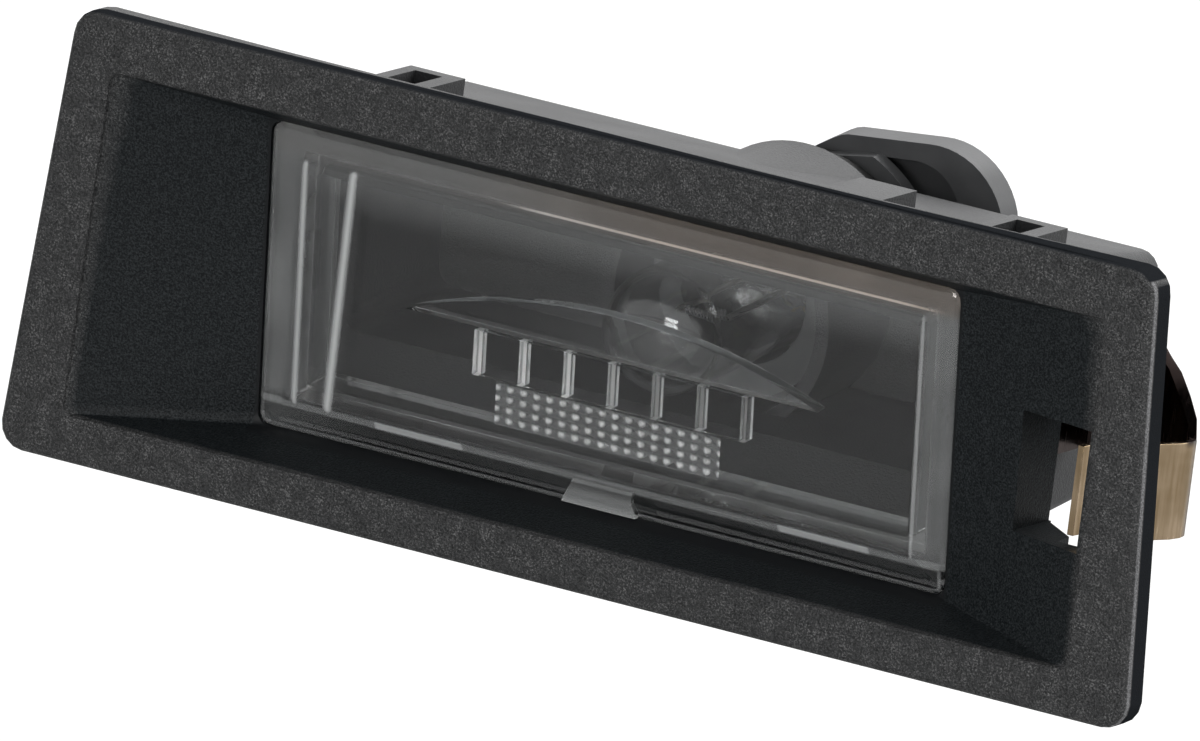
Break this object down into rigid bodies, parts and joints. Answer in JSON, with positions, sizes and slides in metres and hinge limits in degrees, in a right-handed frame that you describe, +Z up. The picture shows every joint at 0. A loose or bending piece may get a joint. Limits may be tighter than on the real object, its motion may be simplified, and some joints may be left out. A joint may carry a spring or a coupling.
{
  "type": "number plate lamp",
  "caption": "Number plate lamp: black bezel and tapering light box, tilted clear lens with moulded optics, sideways spring clip, capless bulb and twist-lock holder with a connector socket.",
  "frame": {"origin": "centre of the panel cut-out, in the plane of the bezel's back face", "axes": "+X along the lamp towards the end with the spring clip, -Y the way the lens faces, +Z up across the bezel"},
  "size_m": [0.094, 0.0483, 0.0334],
  "materials": {
    "housing_plastic": "fine grain",
    "lens_clear": "clear, polished",
    "clip_metal": "satin spring strip",
    "bulb_glass": "clear",
    "filament_metal": "drawn wire",
    "lead_metal": "drawn wire",
    "holder_plastic": "satin",
    "seal_rubber": "matt",
    "contact_metal": "bright strip"
  },
  "bodies": {
    "lamp": {"housing": "housing_plastic", "lens": "lens_clear", "spring_clip": "clip_metal"},
    "holder": {"holder_body": "holder_plastic", "holder_seal": "seal_rubber", "bulb_glass": "bulb_glass", "filament": "filament_metal", "lead_wire_left": "lead_metal", "lead_wire_right": "lead_metal", "contact_left": "contact_metal", "contact_right": "contact_metal"}
  },
  "joints": [
    {"name": "holder_turn", "type": "hinge", "parent": "lamp", "child": "holder", "pos_m": [0, 0.0283, 0.00295], "axis": [0, 0.9936, 0.1132], "range_deg": [0, 45]}
  ]
}
